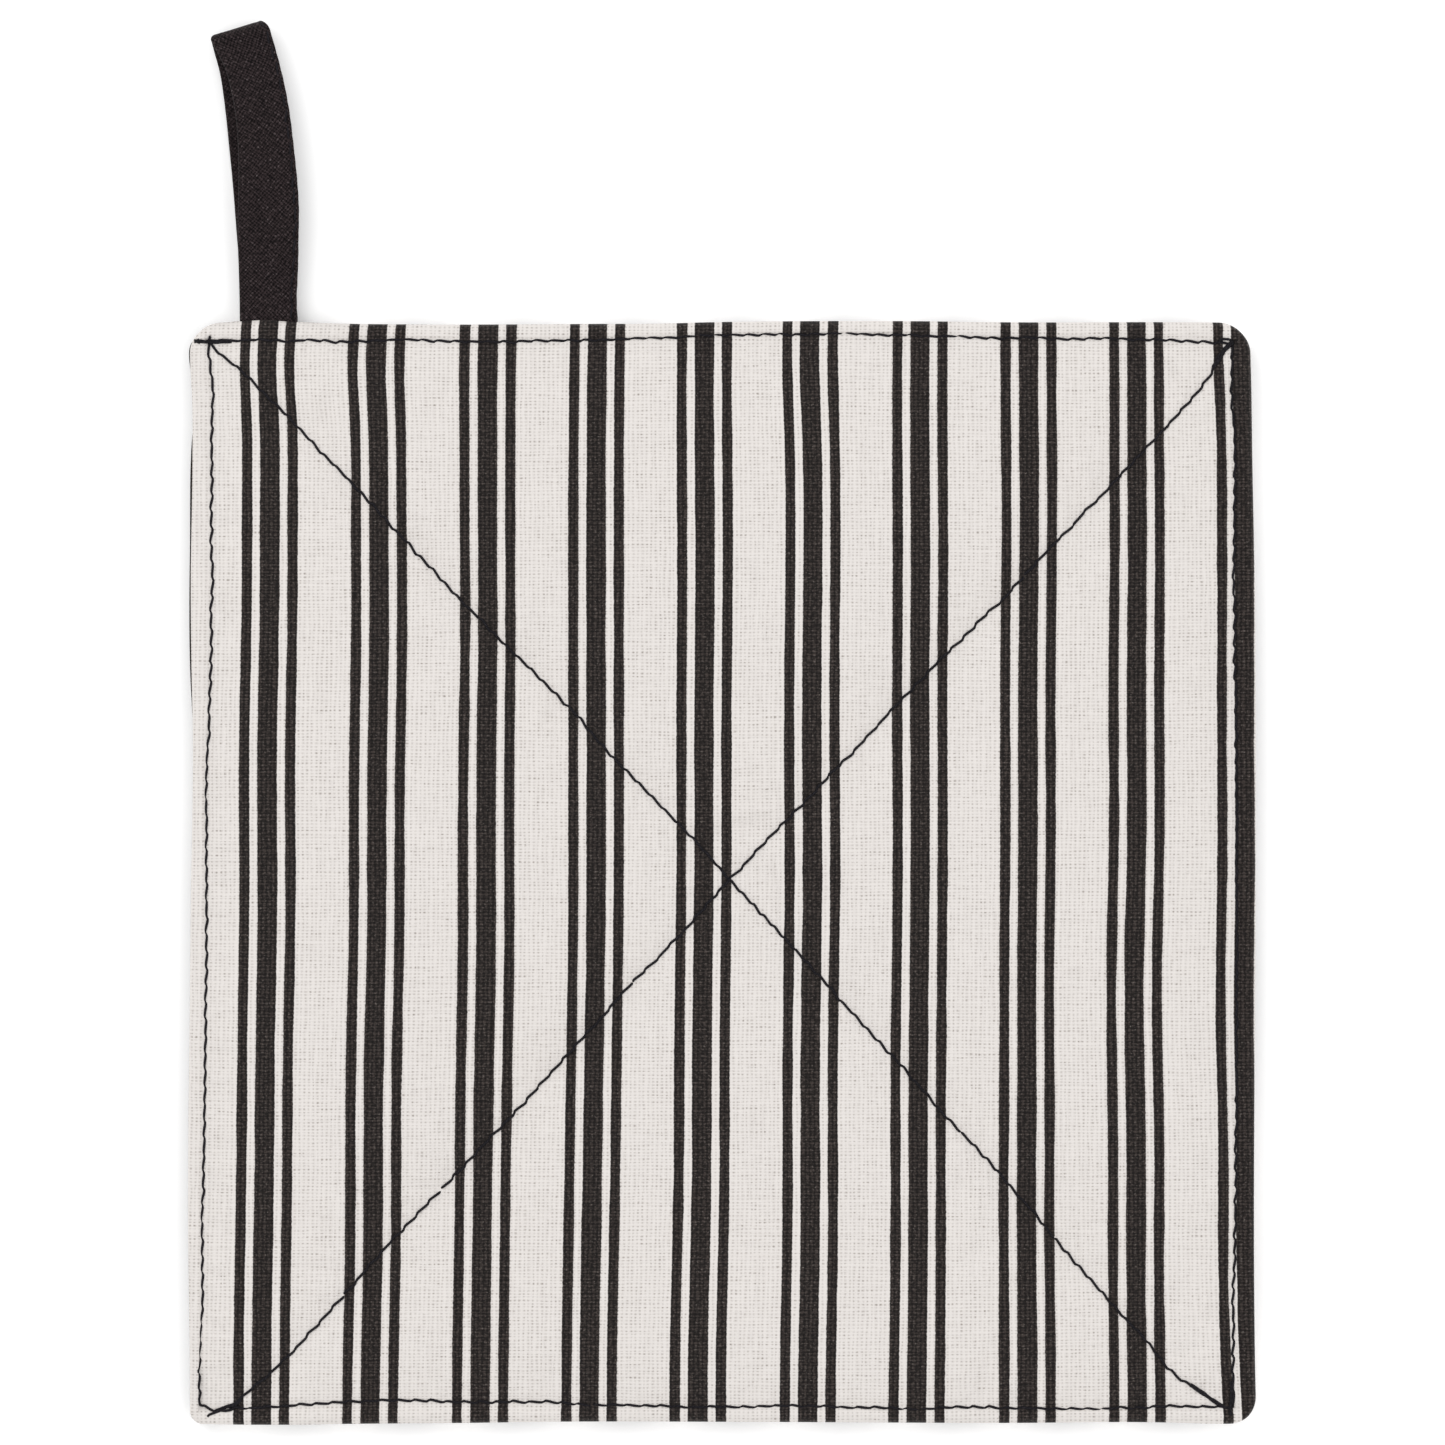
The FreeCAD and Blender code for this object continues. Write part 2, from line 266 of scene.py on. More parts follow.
def new_mesh(name, points, faces, coordinates):
    """A mesh object from points in mm, with its cloth coordinates in mm as an attribute."""
    mesh = bpy.data.meshes.new(name)
    mesh.from_pydata((np.asarray(points, float) * MM).tolist(), [], faces)
    attribute = mesh.attributes.new("cloth", "FLOAT_VECTOR", "POINT")
    attribute.data.foreach_set("vector", np.asarray(coordinates, np.float32).ravel())
    mesh.polygons.foreach_set("use_smooth", [True] * len(mesh.polygons))
    mesh.validate()
    mesh.update()
    return add_object(name, mesh)


def face_outwards(obj):
    """The same closed mesh, with every face looking outwards."""
    bpy.context.view_layer.objects.active = obj
    obj.select_set(True)
    bpy.ops.object.mode_set(mode="EDIT")
    bpy.ops.mesh.select_all(action="SELECT")
    bpy.ops.mesh.normals_make_consistent(inside=False)
    bpy.ops.object.mode_set(mode="OBJECT")
    obj.select_set(False)
    return obj


# -------- the pad's layout
def band_distance(share, inset):
    """How far in from the edge a point of the band lies: round the edge first, then flat."""
    turn = np.clip(share / CURVE_SHARE, 0, 1) * math.pi / 2
    past = np.clip((share - CURVE_SHARE) / (1 - CURVE_SHARE), 0, 1)
    return EDGE_ROUND * (1 - np.cos(turn)) + past * (inset - EDGE_ROUND)


def band_height(share):
    """How high a point of the band stands over the middle plane."""
    turn = np.clip(share / CURVE_SHARE, 0, 1) * math.pi / 2
    past = np.clip((share - CURVE_SHARE) / (1 - CURVE_SHARE), 0, 1)
    return EDGE_HEIGHT * np.sin(turn) - (EDGE_HEIGHT - SEWN_HEIGHT) * past ** 2


def along_side(index, low, high, low_inset, high_inset):
    """Places across the pad for grid indices, between two edges with their own insets."""
    start = low + band_distance(np.clip(index / BAND, 0, 1), low_inset)
    end = high - band_distance(np.clip((LAST - index) / BAND, 0, 1), high_inset)
    inside = mix(low + low_inset, high - high_inset, (index - BAND) / INSIDE)
    return np.where(index < BAND, start, np.where(index > LAST - BAND, end, inside))


def stray_from_diagonals(x, y, u, v):
    """Moves the grid's two diagonals onto the lines that were really sewn."""
    span = WIDTH / math.sqrt(2)
    margin = np.minimum.reduce([u, 1 - u, v, 1 - v]).clip(0) * WIDTH
    window = 1 - np.exp(-(margin / STRAY_MARGIN) ** 2)
    diagonal = math.hypot(WIDTH, HEIGHT)
    side_x = HEIGHT / diagonal
    side_y = WIDTH / diagonal
    near_cross = np.exp(-((u + v - 1) * span / STRAY_REACH) ** 2) * window
    near_fold = np.exp(-((u - v) * span / STRAY_REACH) ** 2) * window
    cross = curve(CROSS_STRAY, (u + 1 - v) / 2) * near_cross
    fold = curve(FOLD_STRAY, (u + v) / 2) * near_fold
    return x + side_x * cross - side_x * fold, y + side_y * cross + side_y * fold


def round_corner(to_side, to_end, radius, inset):
    """Distances from two edges, pulled in so that the rings round the corner have round turns."""
    ring = np.minimum(to_side, to_end)
    past = np.maximum(to_side, to_end) - ring
    turn = radius * np.clip(1 - ring / inset, 0, 1)
    inside = past < turn
    angle = math.pi / 4 * (1 - past / np.where(turn > 0, turn, 1))
    near = ring + turn * (1 - np.cos(angle))
    far = ring + turn * (1 - np.sin(angle))
    side_first = to_side <= to_end
    new_side = np.where(inside, np.where(side_first, near, far), to_side)
    new_end = np.where(inside, np.where(side_first, far, near), to_end)
    return new_side, new_end


def pad_points(i, j, back=False):
    """Places in the pad's plane for grid indices, seen from the front."""
    rough_x = mix(LEFT, RIGHT, i / LAST)
    rough_y = mix(BOTTOM, TOP, j / LAST)
    roll = curve(BACK_ROLL, rough_y) if back else 0 * rough_y
    left = LEFT - curve(LEFT_STRAY, rough_y) - roll
    right = RIGHT + curve(RIGHT_STRAY, rough_y)
    bottom = BOTTOM - curve(BOTTOM_STRAY, rough_x)
    top = TOP + curve(TOP_STRAY, rough_x)
    x = along_side(i, left, right, curve(LEFT_INSET, rough_y) + roll, curve(RIGHT_INSET, rough_y))
    y = along_side(j, bottom, top, curve(BOTTOM_INSET, rough_x), curve(TOP_INSET, rough_x))
    x, y = stray_from_diagonals(x, y, (i - BAND) / INSIDE, (j - BAND) / INSIDE)
    for radius, at_right, at_top in zip(CORNER_RADII, (0, 0, 1, 1), (0, 1, 1, 0)):
        to_side = right - x if at_right else x - left
        to_end = top - y if at_top else y - bottom
        here = (to_side < 2 * radius) & (to_end < 2 * radius)
        new_side, new_end = round_corner(to_side, to_end, radius, 3.0)
        new_x = right - new_side if at_right else left + new_side
        new_y = top - new_end if at_top else bottom + new_end
        x = np.where(here, new_x, x)
        y = np.where(here, new_y, y)
    return x, y


def band_share(i, j):
    """0 on the pad's edge, 1 on the topstitching and inside it."""
    return np.clip(np.minimum.reduce([i, LAST - i, j, LAST - j]) / BAND, 0, 1)


def grid(step, margin=0):
    """Grid indices, one row and column in every step, from margin to margin."""
    return np.meshgrid(np.arange(margin, LAST - margin + 1, step),
                       np.arange(margin, LAST - margin + 1, step), indexing="ij")


def grid_faces(rows, columns, first=0):
    """Quads of a grid of points, split towards each diagonal where it crosses them."""
    faces = []
    for a in range(rows - 1):
        for b in range(columns - 1):
            p = first + a * columns + b
            q = p + columns
            quad = (p, q, q + 1, p + 1)
            faces.append(quad if abs(a + b + 2 - rows) > 2 else quad[1:] + quad[:1])
    return faces


# -------- the puff, by cloth simulation
def simulate(x, y, pinned, seed):
    """How far cloth pinned along its stitch lines rises and slides, in mm, when wadding fills it."""
    rows, columns = x.shape
    start = SIM_RIPPLE * waves(x, y, 9.0, seed) * ~pinned
    points = stacked(x, y, start).reshape(-1, 3) * SIM_SCALE
    sheet = new_mesh("puff_%d" % seed, points, grid_faces(rows, columns), points)
    held = sheet.vertex_groups.new(name="held")
    held.add(np.flatnonzero(pinned.ravel()).tolist(), 1.0, "ADD")
    cloth = sheet.modifiers.new("puff", "CLOTH")
    cloth.settings.vertex_group_mass = held.name
    cloth.settings.effector_weights.gravity = 0
    for setting, value in SIM_CLOTH.items():
        setattr(cloth.settings, setting, value)
    cloth.collision_settings.use_collision = False
    cloth.point_cache.frame_start = 1
    cloth.point_cache.frame_end = SIM_FRAMES
    scene = bpy.context.scene
    for number in range(1, SIM_FRAMES + 1):
        scene.frame_set(number)
    graph = bpy.context.evaluated_depsgraph_get()
    result = sheet.evaluated_get(graph).to_mesh()
    moved = np.empty(len(result.vertices) * 3)
    result.vertices.foreach_get("co", moved)
    sheet.evaluated_get(graph).to_mesh_clear()
    scene.frame_set(1)
    bpy.data.meshes.remove(sheet.data)
    moved = moved.reshape(rows, columns, 3) / (SIM_SCALE * MM)
    return moved - stacked(x, y, 0)


def finer(field):
    """A field on a grid twice as fine, by cubic steps along each direction."""
    for axis in (0, 1):
        field = np.moveaxis(field, axis, 0)
        count = len(field)
        wide = np.empty((2 * count - 1,) + field.shape[1:])
        wide[::2] = field
        wide[1::2] = (field[:-1] + field[1:]) / 2
        wide[3:-3:2] = (9 * (field[1:-2] + field[2:-1]) - field[:-3] - field[3:]) / 16
        field = np.moveaxis(wide, 0, axis)
    return field


def puffed_field(seed):
    """How each point of the whole fine grid moves when the pad is filled: sideways and up, in mm."""
    i, j = grid(SIM_STEP, BAND)
    x, y = pad_points(i.astype(float), j.astype(float))
    edge = (i == BAND) | (i == LAST - BAND) | (j == BAND) | (j == LAST - BAND)
    pinned = edge | (i == j) | (i + j == LAST)
    moved = simulate(x, y, pinned, seed)
    moved[pinned] = 0
    inside = finer(moved)
    field = np.zeros((LAST + 1, LAST + 1, 3))
    field[BAND:LAST - BAND + 1, BAND:LAST - BAND + 1] = inside
    return field


def stitch_marks(i, j, x, y, seed):
    """The dimple at every needle hole, and the short puckers that run out from between them."""
    depth = np.zeros_like(x)
    bend = 0.9 * waves(x, y, 7.0, seed + 7)
    cell = WIDTH / LAST
    lines = []
    for steps, along in ((i - BAND, j), (LAST - BAND - i, j), (j - BAND, i), (LAST - BAND - j, i)):
        past = np.maximum(0, np.maximum(BAND - along, along - LAST + BAND))
        lines.append((np.hypot(steps, past) * cell, (along - BAND) / RING_STITCH))
    for steps, along in ((i - j, i + j), (i + j - LAST, i - j + LAST)):
        away = np.where(band_share(i, j) >= 1, abs(steps) * cell / math.sqrt(2), math.inf)
        lines.append((away, (along - LAST) / 2 / CROSS_STITCH))
    uneven = 0.7 + 0.3 * waves(x, y, 14.0, seed + 5)
    for away, phase in lines:
        beat = np.cos(2 * math.pi * phase)
        depth -= HOLE_DEPTH * np.exp(-(away / HOLE_REACH) ** 2) * (0.55 + 0.45 * beat)
        fade = np.exp(-away / PUCKER_REACH) * (1 - np.exp(-(away / PUCKER_START) ** 2))
        depth -= PUCKER * uneven * fade * np.cos(2 * math.pi * phase + bend)
    cut_corner = np.hypot(i - BAND, j - BAND) * cell
    return depth * (1 - np.exp(-(cut_corner / CUT_CORNER_REACH) ** 2))


def outer_skin(seed, back):
    """The panel's outside: points on the fine grid, as x, y and the height over the middle plane."""
    i, j = grid(1)
    x, y = pad_points(i.astype(float), j.astype(float), back)
    share = band_share(i, j)
    moved = puffed_field(seed)
    cap = PILLOW - SEWN_HEIGHT
    rise = cap * np.tanh(np.maximum(moved[..., 2], 0) / cap)
    height = band_height(share) + rise
    height += stitch_marks(i, j, x, y, seed) * np.clip(share * 2 - 0.6, 0, 1)
    height += 0.06 * waves(x, y, 23.0, seed + 3) * np.clip(share * 2 - 1, 0, 1)
    height = np.clip(height, SEAM_GAP, PILLOW)
    return stacked(x + moved[..., 0], y + moved[..., 1], height)


def cloth_coordinates(x, y):
    """Where a point of the pad lies on its flat cloth, so that the stripes lean as they do."""
    away = x - LEAN_MIDDLE[0]
    lean = LEAN[0] + LEAN[1] * away + LEAN[2] * away ** 2
    straight = x - lean * (y - LEAN_MIDDLE[1]) / LEAN_LENGTH - 0.10 * waves(x, y, 55.0, 21)
    straight -= curve(RIGHT_PULL, y) * np.clip((x - RIGHT_PULL_START) / RIGHT_PULL_WIDTH, 0, 1) ** 2
    for centre_x, centre_y, reach_x, reach_y, amount in PULLS:
        straight -= amount * np.exp(-((x - centre_x) / reach_x) ** 2 - ((y - centre_y) / reach_y) ** 2)
    return straight, y + 0.15 * waves(x, y, 70.0, 22)


def ring_of(field):
    """The border of a grid of points, once round."""
    return np.concatenate([field[:-1, 0], field[-1, :-1], field[:0:-1, -1], field[0, :0:-1]])


def ring_indices(rows, columns, first):
    """Numbers of the points on the border of a grid, once round, in the order of ring_of."""
    return ring_of((first + np.arange(rows * columns)).reshape(rows, columns)).tolist()


def strip_faces(a, b):
    """Quads between two closed rings with as many points each."""
    return [(a[k], a[(k + 1) % len(a)], b[(k + 1) % len(b)], b[k]) for k in range(len(a))]


def fan_faces(fine, coarse):
    """Faces between a closed ring and one with a whole share of its points."""
    ratio = len(fine) // len(coarse)
    faces = []
    for k, here in enumerate(coarse):
        there = coarse[(k + 1) % len(coarse)]
        run = [fine[(k * ratio + n) % len(fine)] for n in range(ratio + 1)]
        half = ratio // 2
        faces += [(run[n], run[n + 1], here) for n in range(half)]
        faces.append((run[half], there, here))
        faces += [(run[n], run[n + 1], there) for n in range(half, ratio)]
    return faces


def allowance_ring(inset, height):
    """A ring of points at one inset and height, in step with the border of the coarse grid."""
    share = np.linspace(0, 1, LAST // COARSE + 1)
    a, b = np.meshgrid(share, share, indexing="ij")
    x = mix(LEFT + inset, RIGHT - inset, a)
    y = mix(BOTTOM + inset, TOP - inset, b)
    return ring_of(stacked(x, y, height))


def turned_ring(outer, inset, height):
    """A ring of points a little way in from the pad's edge, in step with the other allowance rings."""
    edge = ring_of(outer[::COARSE, ::COARSE])[:, :2]
    along = unit(np.roll(edge, -1, axis=0) - np.roll(edge, 1, axis=0))
    inwards = stacked(-along[:, 1], along[:, 0])
    return np.concatenate([edge + inset * inwards, np.full((len(edge), 1), height)], axis=1)


def inner_skin(outer):
    """The panel's inside, on the coarse grid: the outside moved in by the cloth's thickness."""
    normal = unit(np.cross(np.gradient(outer, axis=0), np.gradient(outer, axis=1)))
    inside = (outer - CLOTH * normal)[COARSE:-COARSE:COARSE, COARSE:-COARSE:COARSE]
    inside[..., 2] = np.maximum(inside[..., 2], CLOTH + SEAM_GAP + SKIN_ROOM)
    return inside


def panel(name, outer, side, shift):
    """One cover panel as cut cloth: its outside, its allowance turned in at the edge, and its inside.

    side is 1 for the front and -1 for the back, and shift moves the stripes along.
    """
    inside = inner_skin(outer)
    fine = outer.shape[0]
    small = inside.shape[0]
    rings = [
        allowance_ring(ALLOWANCE, SEAM_GAP),
        allowance_ring(ALLOWANCE, SEAM_GAP + CLOTH),
        turned_ring(outer, EDGE_TURN_IN, SEAM_GAP + CLOTH),
    ]
    points = [outer.reshape(-1, 3)] + rings + [inside.reshape(-1, 3)]
    starts = np.cumsum([0] + [len(block) for block in points])
    faces = grid_faces(fine, fine)
    ring_numbers = [list(range(starts[k], starts[k + 1])) for k in (1, 2, 3)]
    faces += fan_faces(ring_indices(fine, fine, 0), ring_numbers[0])
    faces += strip_faces(ring_numbers[0], ring_numbers[1])
    faces += strip_faces(ring_numbers[1], ring_numbers[2])
    faces += skin_join(ring_numbers[2], ring_indices(small, small, int(starts[4])), small)
    faces += [tuple(reversed(face)) for face in grid_faces(small, small, int(starts[4]))]
    points = np.concatenate(points)
    across, along = cloth_coordinates(points[:, 0], points[:, 1])
    coordinates = stacked(across + shift, along, 0)
    points[:, 2] = MIDDLE_Z + side * points[:, 2]
    return face_outwards(new_mesh(name, points, faces, coordinates))


def skin_join(ring, border, small):
    """Faces from the allowance to the inside skin, whose border has two points fewer on each side."""
    faces = []
    side = small + 1
    for corner in range(4):
        outer_side = [ring[(corner * side + n) % len(ring)] for n in range(side + 1)]
        inner_side = [border[(corner * (small - 1) + n) % len(border)] for n in range(small)]
        faces.append((outer_side[0], outer_side[1], inner_side[0]))
        for n in range(small - 1):
            faces.append((outer_side[n + 1], outer_side[n + 2], inner_side[n + 1], inner_side[n]))
        faces.append((outer_side[side - 1], outer_side[side], inner_side[small - 1]))
    return faces


def wadding(name, outer, side):
    """One wadding layer: it fills the panel's inside down to the middle plane."""
    top = inner_skin(outer)[1:-1, 1:-1]
    top[..., 2] -= WADDING_ROOM
    count = top.shape[0]
    middle = np.array([(LEFT + RIGHT) / 2, (BOTTOM + TOP) / 2, 0])
    share = 1 - 2 * ALLOWANCE / WIDTH
    low = middle + (top * [1, 1, 0] - middle) * share + [0, 0, SEAM_GAP]
    lip = ring_of(top) * [1, 1, 0] + [0, 0, SEAM_GAP + CLOTH + SHELF_ROOM]
    shelf = ring_of(low) + [0, 0, CLOTH + SHELF_ROOM]
    size = count * count
    ring = len(lip)
    points = np.concatenate([top.reshape(-1, 3), lip, shelf, low.reshape(-1, 3)])
    lips = list(range(size, size + ring))
    shelves = list(range(size + ring, size + 2 * ring))
    feet = ring_indices(count, count, size + 2 * ring)
    faces = grid_faces(count, count)
    faces += strip_faces(ring_indices(count, count, 0), lips)
    faces += strip_faces(lips, shelves)
    faces += strip_faces(shelves, feet)
    faces += [tuple(reversed(face)) for face in grid_faces(count, count, size + 2 * ring)]
    placed = points * [1, 1, side] + [0, 0, MIDDLE_Z]
    return face_outwards(new_mesh(name, placed, faces, points))


# -------- thread
STITCH_SHAPE = [(0.0, -0.04), (0.12, 0.05), (0.27, 0.14), (0.5, 0.18), (0.73, 0.14), (0.88, 0.05)]
STITCH_SLANT = 0.16
STITCH_WANDER = 0.11
SKIN_BLUR = 0.3


def tube(path, radius, sides=8):
    """Points, faces and cloth coordinates of one closed round tube along a path in mm."""
    path = np.asarray(path, float)
    tangents = unit(np.gradient(path, axis=0))
    normal = np.cross(tangents[0], [0.3, 0.2, 1.0])
    angles = np.arange(sides) * 2 * math.pi / sides
    points = []
    coordinates = []
    for place, tangent, length in zip(path, tangents, lengths_along(path)):
        normal = unit(normal - tangent * normal.dot(tangent))
        other = np.cross(tangent, normal)
        ring = place + radius * (np.outer(np.cos(angles), normal) + np.outer(np.sin(angles), other))
        points.append(ring)
        coordinates.append(stacked(angles, length, 0))
    return np.concatenate(points), ring_faces(len(path), sides), np.concatenate(coordinates)


def thread_piece(name, paths, radius=THREAD / 2):
    """One piece of thread from several paths."""
    points = []
    faces = []
    coordinates = []
    count = 0
    for path in paths:
        new_points, new_faces, new_coordinates = tube(path, radius)
        points.append(new_points)
        coordinates.append(new_coordinates)
        faces += [tuple(number + count for number in face) for face in new_faces]
        count += len(new_points)
    return new_mesh(name, np.concatenate(points), faces, np.concatenate(coordinates))


def stitches(base, up, steps, seed, shape=STITCH_SHAPE, loose=1.0):
    """The path of one thread along a line on cloth: over the cloth, and down at each needle hole.

    base holds the line's points, with a hole at every few steps. up points out of the cloth.
    """
    rng = np.random.default_rng(seed)
    base = np.asarray(base, float)
    up = np.broadcast_to(np.asarray(up, float), base.shape)
    side = unit(np.cross(up, np.gradient(base, axis=0)))
    rows = np.concatenate([base, up, side], axis=1)
    count = (len(base) - 1) // steps
    jitter = rng.normal(0, STITCH_WANDER * loose, count + 1)
    path = []
    for k in range(count):
        slant = STITCH_SLANT * loose * rng.uniform(0.5, 1.5)
        for share, lift in shape:
            row = read_at((k + share) * steps, np.arange(len(rows)), rows)
            place, out, across = row.reshape(3, 3)
            lean = slant * math.cos(math.pi * share) if share > 0 else 0
            path.append(place + out * lift + across * (lean + mix(jitter[k], jitter[k + 1], share)))
    path.append(base[count * steps] + up[count * steps] * shape[0][1])
    return path


def grid_line(outer, start, end, side):
    """The points of the fine grid from one index pair to another, in mm in the frame."""
    steps = max(abs(end[0] - start[0]), abs(end[1] - start[1]))
    i = np.linspace(start[0], end[0], steps + 1).round().astype(int)
    j = np.linspace(start[1], end[1], steps + 1).round().astype(int)
    line = outer[i, j].copy()
    line[:, 2] = MIDDLE_Z + side * line[:, 2]
    return line


def on_skin(outer, side, points, spacing=0.8, lift=0.0):
    """A path laid on the panel through points in the pad's plane."""
    flat = outer[..., :2].reshape(-1, 2)
    heights = outer[..., 2].ravel()
    path = []
    for (x0, y0), (x1, y1) in zip(points, points[1:]):
        steps = max(1, round(math.hypot(x1 - x0, y1 - y0) / spacing))
        for n in range(steps):
            path.append((mix(x0, x1, n / steps), mix(y0, y1, n / steps)))
    path.append(points[-1])
    placed = []
    for x, y in path:
        weight = np.exp(-((flat[:, 0] - x) ** 2 + (flat[:, 1] - y) ** 2) / SKIN_BLUR)
        height = np.sum(weight * heights) / np.sum(weight)
        placed.append((x, y, MIDDLE_Z + side * (height + lift)))
    return np.array(placed)


def rerouted(outer, line, first, last, places):
    """A line on the front's grid whose points from first to last are led through other places instead."""
    route = np.array([line[first][:2]] + list(places) + [line[last][:2]])
    lengths = lengths_along(route)
    flat = read_at(np.linspace(0, lengths[-1], last - first + 1), lengths, route)
    changed = line.copy()
    changed[first:last + 1] = on_skin(outer, 1, [tuple(place) for place in flat], 10.0)
    return changed


def backtack(outer, places, offsets, seed):
    """Where a seam is locked on the front: thread passed back and forth beside its last stitches."""
    start = places[0]
    end = places[-1]
    away = unit(np.array([end[1] - start[1], start[0] - end[0]]))
    paths = []
    for number, offset in enumerate(offsets):
        shifted = [tuple(np.array(place) + away * offset) for place in places]
        line = on_skin(outer, 1, shifted)
        paths.append(stitches(line, (0, 0, 1), 3 + number % 2, seed + number, loose=0.4))
    return paths


# The ends and corners of the seams on the front, as places in the pad's plane, in mm
START_TACK = [(-98.9, 71.5), (-96.0, 71.45), (-93.0, 71.6), (-90.5, 71.65)]
START_KNOT = [(-99.0, 71.75), (-98.2, 71.2), (-98.3, 71.8), (-99.0, 71.3)]
START_END = [(-96.4, 71.3), (-96.2, 72.3), (-96.0, 72.4)]
FOLD_TACK = [(95.8, 71.5), (94.0, 69.6), (92.0, 66.6)]
FOLD_BOW = [(93.2, 71.7), (94.0, 71.95), (95.0, 71.9), (95.9, 71.4)]
CROSS_END = [(87.8, -124.3), (91.2, -126.6), (94.4, -128.6)]
CROSS_LAST = 10
RIGHT_END = [(95.5, -123.6), (95.65, -126.2), (95.35, -128.4), (95.65, -130.0)]
FOLD_END = [(-90.4, -127.0), (-91.7, -128.1), (-93.6, -128.7), (-94.8, -129.2)]
FOLD_LAST = 11
FOLD_TAIL = (-96.6, -130.2)
LOW_CORNER = [(-98.25, -127.2), (-97.7, -128.2), (-95.9, -128.8), (-93.2, -129.2), (-91.4, -129.0)]
CORNER_LAST = 9


def pad_threads(outer, side, layer):
    """Every thread on one face of the pad, as name: piece."""
    low = BAND
    high = LAST - BAND
    up = (0, 0, side)
    corners = [(low, high), (high, high), (high, low), (low, low), (low, high)]
    ring = np.concatenate([grid_line(outer, a, b, side)[:-1] for a, b in zip(corners, corners[1:])])
    ring = np.concatenate([ring, ring[:1]])
    cross = grid_line(outer, (low, high), (high, low), side)
    fold = grid_line(outer, (high, high), (low, low), side)
    if side > 0:
        turn = 3 * INSIDE
        ring = rerouted(outer, ring, turn - CORNER_LAST, turn + CORNER_LAST, LOW_CORNER[::-1])
        cross = rerouted(outer, cross, INSIDE - CROSS_LAST, INSIDE, CROSS_END)
        fold[-1, :2] = FOLD_TAIL
        fold = rerouted(outer, fold, INSIDE - FOLD_LAST, INSIDE, FOLD_END)
    edge_paths = [stitches(ring, up, RING_STITCH, 31 + side)]
    cross_paths = [stitches(cross, up, CROSS_STITCH, 41 + side)]
    fold_paths = [stitches(fold, up, CROSS_STITCH, 51 + side)]
    if side > 0:
        edge_paths += backtack(outer, START_TACK, (-0.17, 0.0, 0.17), 61)
        edge_paths.append(on_skin(outer, side, START_KNOT, 0.3, 0.3))
        edge_paths.append(on_skin(outer, side, START_END, 0.3, 0.2))
        edge_paths += backtack(outer, RIGHT_END, (-0.15, 0.13), 66)
        fold_paths += backtack(outer, FOLD_TACK, (-0.22, 0.03, 0.25), 62)
        fold_paths.append(on_skin(outer, side, FOLD_BOW, 0.4, 0.12))
        cross_paths += backtack(outer, CROSS_END, (-0.12, 0.12), 63)
        fold_paths += backtack(outer, FOLD_END[:3], (-0.16, 0.16), 64)
        fold_paths += backtack(outer, FOLD_END[2:] + [FOLD_TAIL], (0.2,), 65)
    pieces = {
        "topstitch_%s_thread" % layer: edge_paths,
        "cross_quilting_%s_thread" % layer: cross_paths,
        "fold_quilting_%s_thread" % layer: fold_paths,
    }
    return {name: thread_piece(name + "_sewn", paths) for name, paths in pieces.items()}


def seam_thread(outer, side, layer):
    """The hidden seam's thread, just inside the turned edge."""
    ring = ring_of(outer[4:-4, 4:-4]).copy()
    ring = np.concatenate([ring, ring[:1]])
    ring[:, 2] = MIDDLE_Z + side * (SEAM_GAP + CLOTH)
    shape = [(0.0, -0.6), (0.12, 0.1), (0.5, 0.2), (0.88, 0.1)]
    path = stitches(ring, (0, 0, side), RING_STITCH, 71 + side, shape)
    return thread_piece("seam_%s_thread_sewn" % layer, [path], 0.14)


# -------- the hanging loop
# Outline from above: (share of the way from the seam to the tip, distance in from the pad's left edge)
LOOP_LEFT = [
    (-0.2, 9.5), (0, 9.5), (0.075, 9.5), (0.17, 9.3), (0.285, 8.75), (0.5, 7.8), (0.61, 7.22),
    (0.71, 6.7), (0.8, 6.13), (0.88, 5.45), (0.95, 4.45), (1, 3.75),
]
LOOP_RIGHT = [
    (-0.2, 20.1), (0, 20.1), (0.07, 19.9), (0.17, 20.15), (0.26, 20.4), (0.37, 20.55),
    (0.59, 19.55), (0.7, 18.78), (0.77, 18.08), (0.865, 16.83), (0.94, 15.65), (1, 14.65),
]
LOOP_TIP_SLANT = 2.75
LOOP_CORNERS = (0.75, 1.3)
LOOP_TUCK = 7.0

# The legs from the side: how far each stands from the middle plane
LEG_SPREAD = [
    (-0.2, 0.47), (0, 0.47), (0.06, 0.55), (0.25, 1.7), (0.5, 2.5), (0.75, 2.3), (0.93, 1.6), (1, 1.5),
]
TIP_ROUND = 1.5

# How far the lower leg peeks out to the left of the upper one
LEG_PEEK = [
    (-0.2, 0), (0.2, 0), (0.35, 0.6), (0.5, 1.45), (0.62, 1.95), (0.7, 2.05), (0.8, 1.8),
    (0.9, 1.2), (0.95, 0.6), (0.98, 0.15), (1, 0),
]
LAYER = 0.4
LAYER_GAP = 0.03
LOOP_STITCH_SHARE = 0.93
LOOP_STITCH = 3.05


def loop_stations():
    """Places along the strip, from one end round the tip to the other: share along, height, leg."""
    reach = LOOP_TIP - TOP
    turn_at = 1 - TIP_ROUND / reach
    up = np.linspace(-LOOP_TUCK / reach, turn_at, 84)
    spread = curve(LEG_SPREAD, up)
    spread += (TIP_ROUND - spread[-1]) * np.clip((up - 0.9) / (turn_at - 0.9), 0, 1)
    stations = [(share, height, 0.0) for share, height in zip(up, spread)]
    for angle in np.linspace(0, math.pi, 15)[1:-1]:
        share = turn_at + TIP_ROUND / reach * math.sin(angle)
        stations.append((share, TIP_ROUND * math.cos(angle), angle / math.pi))
    stations += [(share, -height, 1.0) for share, height in zip(up[::-1], spread[::-1])]
    return np.array(stations)


